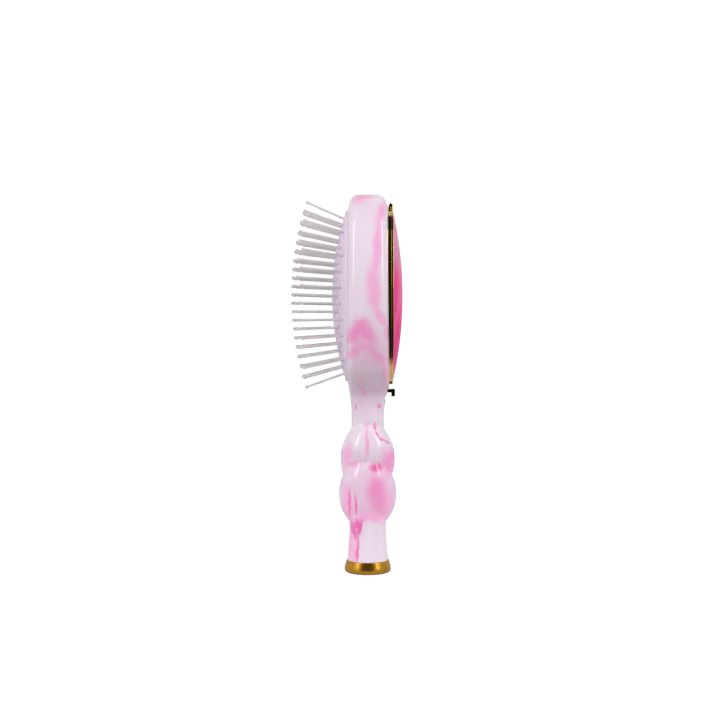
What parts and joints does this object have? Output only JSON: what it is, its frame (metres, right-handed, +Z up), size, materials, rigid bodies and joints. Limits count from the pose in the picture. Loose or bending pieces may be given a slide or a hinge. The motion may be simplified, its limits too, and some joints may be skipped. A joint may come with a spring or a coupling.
{
  "type": "cushion hair brush",
  "caption": "Oval cushion brush with splayed ball-tipped pins, a hinged lid over a back mirror, a double-bulged handle and a flat foot to stand on.",
  "frame": {"origin": "centre of the foot's flat underside", "axes": "+Z up along the handle to the crown, -Y the way the pins point, +Y the mirror lid's side, X across the head"},
  "size_m": [0.0802, 0.0633, 0.2147],
  "materials": {
    "marble_shell": "glossy moulded resin, pale lavender pink with swirled pink marbling",
    "gold_trim": "polished, gold plated",
    "cushion": "soft, smooth, matt",
    "pins": "translucent nylon, softly shiny",
    "carrier": "plain moulded",
    "foam_tape": "dense foam",
    "mirror": "polished, silvered on the back",
    "lid_cover": "glossy, hot pink with fine glitter and paler swirls",
    "liner": "smooth",
    "steel": "plain, bright",
    "brass_insert": "turned",
    "foot_pad": "matt"
  },
  "bodies": {
    "root": {"brush_body": "marble_shell", "end_cap": "gold_trim", "foot_pad": "foot_pad", "foot_screw": "steel", "foot_insert": "brass_insert", "pad_carrier": "carrier", "rear_bezel": "gold_trim", "mirror_tape": "foam_tape", "mirror_glass": "mirror", "hinge_pin": "gold_trim", "catch_plate": "gold_trim", "catch_screws": "gold_trim", "catch_spring": "steel"},
    "pin_bed": {"cushion_pad": "cushion", "pin_row_01": "pins", "pin_row_02": "pins", "pin_row_03": "pins", "pin_row_04": "pins", "pin_row_05": "pins", "pin_row_06": "pins", "pin_row_07": "pins", "pin_row_08": "pins", "pin_row_09": "pins", "pin_row_10": "pins", "pin_row_11": "pins", "pin_row_12": "pins", "pin_row_13": "pins", "pin_row_14": "pins", "pin_row_15": "pins", "pin_row_16": "pins", "pin_row_17": "pins", "pin_row_18": "pins", "pin_row_19": "pins", "pin_row_20": "pins", "pin_row_21": "pins"},
    "lid": {"lid_bezel": "gold_trim", "lid_liner": "liner", "lid_shell": "lid_cover"},
    "catch": {"thumb_catch": "gold_trim"}
  },
  "joints": [
    {"name": "lid_hinge", "type": "hinge", "parent": "root", "child": "lid", "pos_m": [0, 0.0129, 0.20805], "axis": [1, 0, 0], "range_deg": [0, 110]},
    {"name": "catch_slide", "type": "slide", "parent": "root", "child": "catch", "axis": [0, 0, -1], "range_m": [0, 0.0025], "stiffness_N_per_m": 400, "springref_m": -0.001, "deforming": ["catch_spring"]},
    {"name": "pin_bed_sink", "type": "slide", "parent": "root", "child": "pin_bed", "axis": [0, 1, 0], "range_m": [0, 0.003], "stiffness_N_per_m": 1500, "springref_m": -0.0003, "deforming": ["cushion_pad"]}
  ]
}
